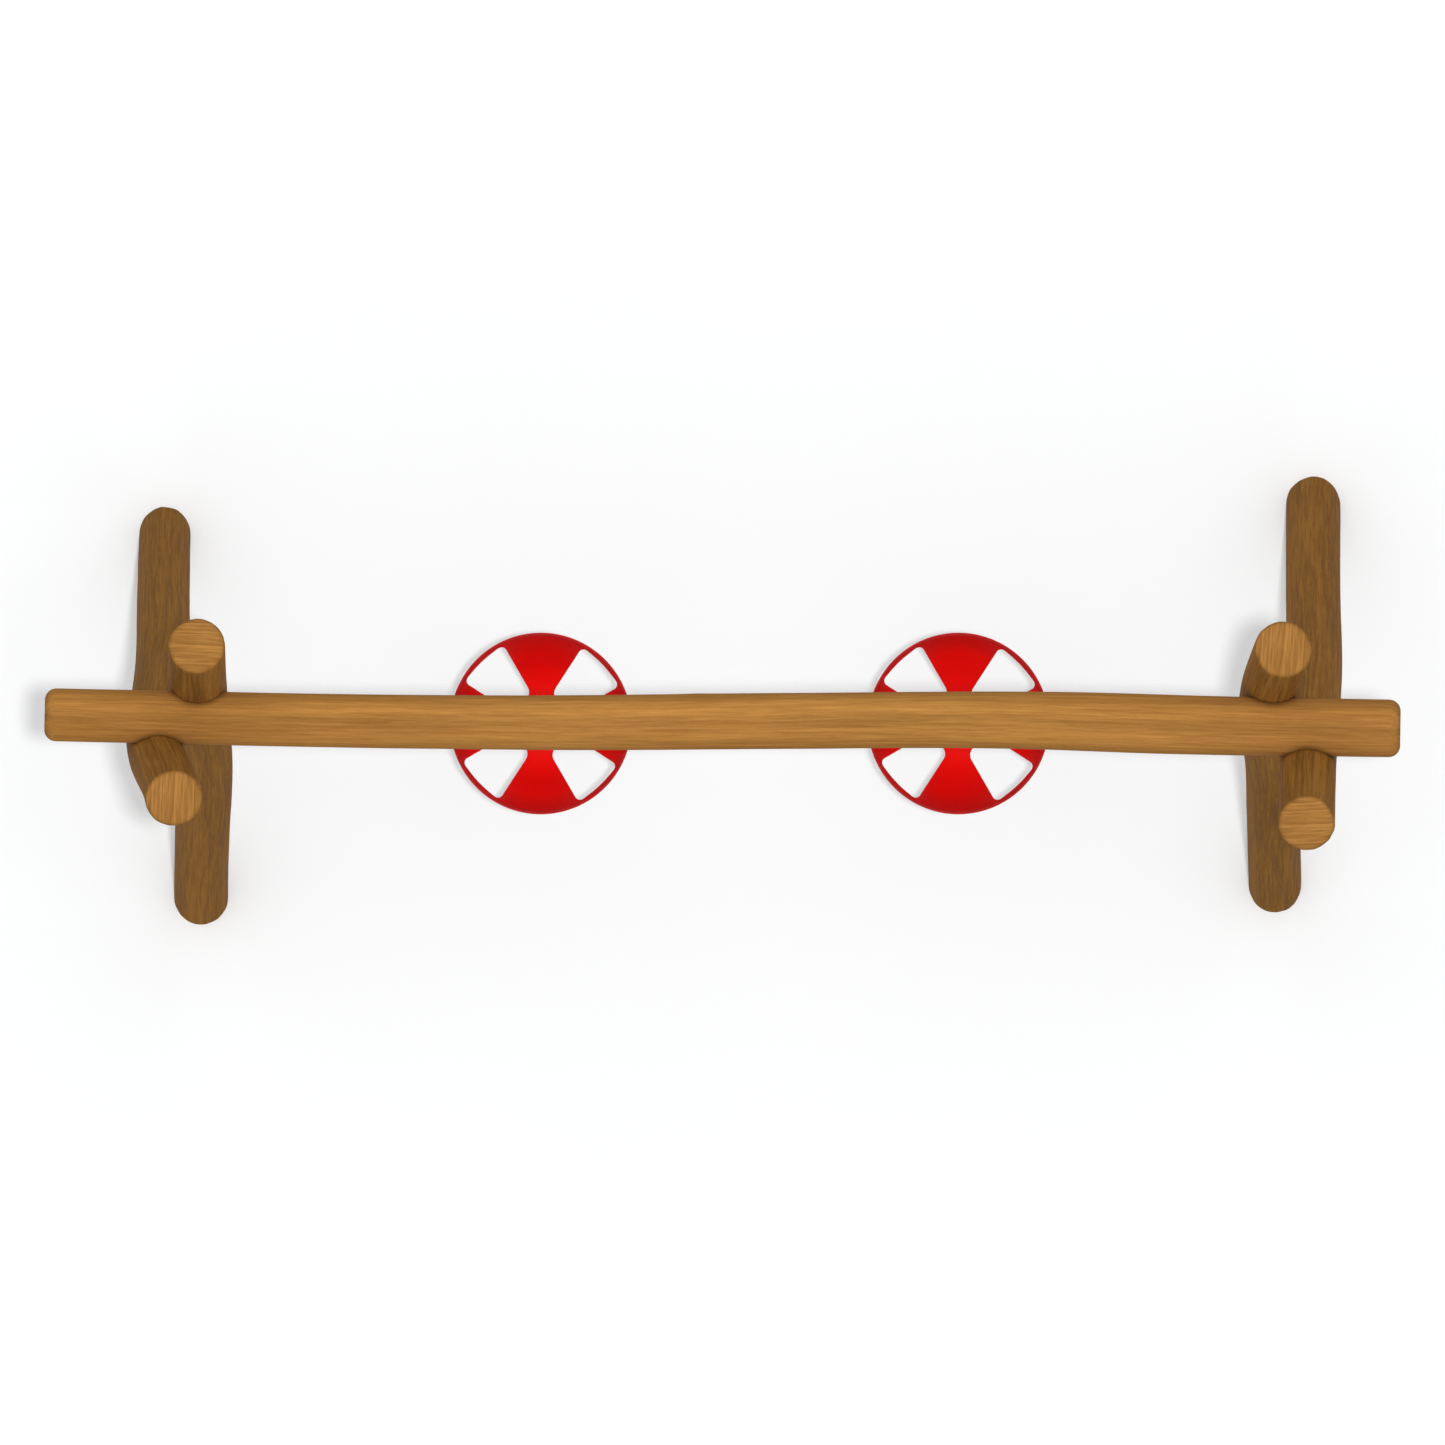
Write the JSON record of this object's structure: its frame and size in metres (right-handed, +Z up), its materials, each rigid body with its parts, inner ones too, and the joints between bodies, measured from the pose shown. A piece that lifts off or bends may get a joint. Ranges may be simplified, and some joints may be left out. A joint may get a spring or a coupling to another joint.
{
  "type": "log swing",
  "caption": "Playground swing: a round-log crossbeam on crossed log legs, with round bucket seats that have leg openings and hang on chains.",
  "frame": {"origin": "on the ground, midway between the outermost points of the crossbeam and of the feet", "axes": "+X along the crossbeam, +Y to the rear across the swing's motion, +Z up"},
  "size_m": [4.0017, 1.3206, 2.8933],
  "materials": {
    "log_wood": "sanded, oiled round log",
    "stainless_steel": "satin stainless steel",
    "chain_steel": "tumbled stainless steel",
    "bow_steel": "satin stainless steel rod",
    "red_plastic": "moulded, semi-gloss",
    "bush_plastic": "machined nylon"
  },
  "bodies": {
    "frame": {"crossbeam": "log_wood", "left_rear_leg": "log_wood", "left_front_leg": "log_wood", "right_rear_leg": "log_wood", "right_front_leg": "log_wood", "left_rear_leg_screw": "stainless_steel", "left_front_leg_screw": "stainless_steel", "right_rear_leg_screw": "stainless_steel", "right_front_leg_screw": "stainless_steel", "left_crossing_bolt": "stainless_steel", "right_crossing_bolt": "stainless_steel", "left_seat_left_bearing_bracket": "stainless_steel", "left_seat_left_bracket_screw_1": "stainless_steel", "left_seat_left_bracket_screw_2": "stainless_steel", "left_seat_left_pivot_bolt": "stainless_steel", "left_seat_left_bearing_bush": "bush_plastic", "left_seat_right_bearing_bracket": "stainless_steel", "left_seat_right_bracket_screw_1": "stainless_steel", "left_seat_right_bracket_screw_2": "stainless_steel", "left_seat_right_pivot_bolt": "stainless_steel", "left_seat_right_bearing_bush": "bush_plastic", "right_seat_left_bearing_bracket": "stainless_steel", "right_seat_left_bracket_screw_1": "stainless_steel", "right_seat_left_bracket_screw_2": "stainless_steel", "right_seat_left_pivot_bolt": "stainless_steel", "right_seat_left_bearing_bush": "bush_plastic", "right_seat_right_bearing_bracket": "stainless_steel", "right_seat_right_bracket_screw_1": "stainless_steel", "right_seat_right_bracket_screw_2": "stainless_steel", "right_seat_right_pivot_bolt": "stainless_steel", "right_seat_right_bearing_bush": "bush_plastic"},
    "left_chains": {"left_seat_left_swing_hanger": "stainless_steel", "left_seat_left_quick_link": "stainless_steel", "left_seat_left_shackle": "stainless_steel", "left_seat_left_shackle_pin": "stainless_steel", "left_seat_left_chain": "chain_steel", "left_seat_right_swing_hanger": "stainless_steel", "left_seat_right_quick_link": "stainless_steel", "left_seat_right_shackle": "stainless_steel", "left_seat_right_shackle_pin": "stainless_steel", "left_seat_right_chain": "chain_steel"},
    "left_seat": {"left_seat_bowl": "red_plastic", "left_seat_rim_hoop": "bow_steel", "left_seat_left_bow": "bow_steel", "left_seat_right_bow": "bow_steel"},
    "right_chains": {"right_seat_left_swing_hanger": "stainless_steel", "right_seat_left_quick_link": "stainless_steel", "right_seat_left_shackle": "stainless_steel", "right_seat_left_shackle_pin": "stainless_steel", "right_seat_left_chain": "chain_steel", "right_seat_right_swing_hanger": "stainless_steel", "right_seat_right_quick_link": "stainless_steel", "right_seat_right_shackle": "stainless_steel", "right_seat_right_shackle_pin": "stainless_steel", "right_seat_right_chain": "chain_steel"},
    "right_seat": {"right_seat_bowl": "red_plastic", "right_seat_rim_hoop": "bow_steel", "right_seat_left_bow": "bow_steel", "right_seat_right_bow": "bow_steel"}
  },
  "joints": [
    {"name": "left_seat_swing", "type": "hinge", "parent": "frame", "child": "left_chains", "pos_m": [-0.536, -0.06785, 2.2762], "axis": [1, 0, 0], "range_deg": [-60, 60]},
    {"name": "left_seat_pitch", "type": "hinge", "parent": "left_chains", "child": "left_seat", "pos_m": [-0.536, -0.06785, 0.845], "axis": [1, 0, 0], "range_deg": [-30, 30]},
    {"name": "right_seat_swing", "type": "hinge", "parent": "frame", "child": "right_chains", "pos_m": [0.696, -0.06785, 2.2762], "axis": [1, 0, 0], "range_deg": [-60, 60]},
    {"name": "right_seat_pitch", "type": "hinge", "parent": "right_chains", "child": "right_seat", "pos_m": [0.696, -0.06785, 0.845], "axis": [1, 0, 0], "range_deg": [-30, 30]}
  ]
}
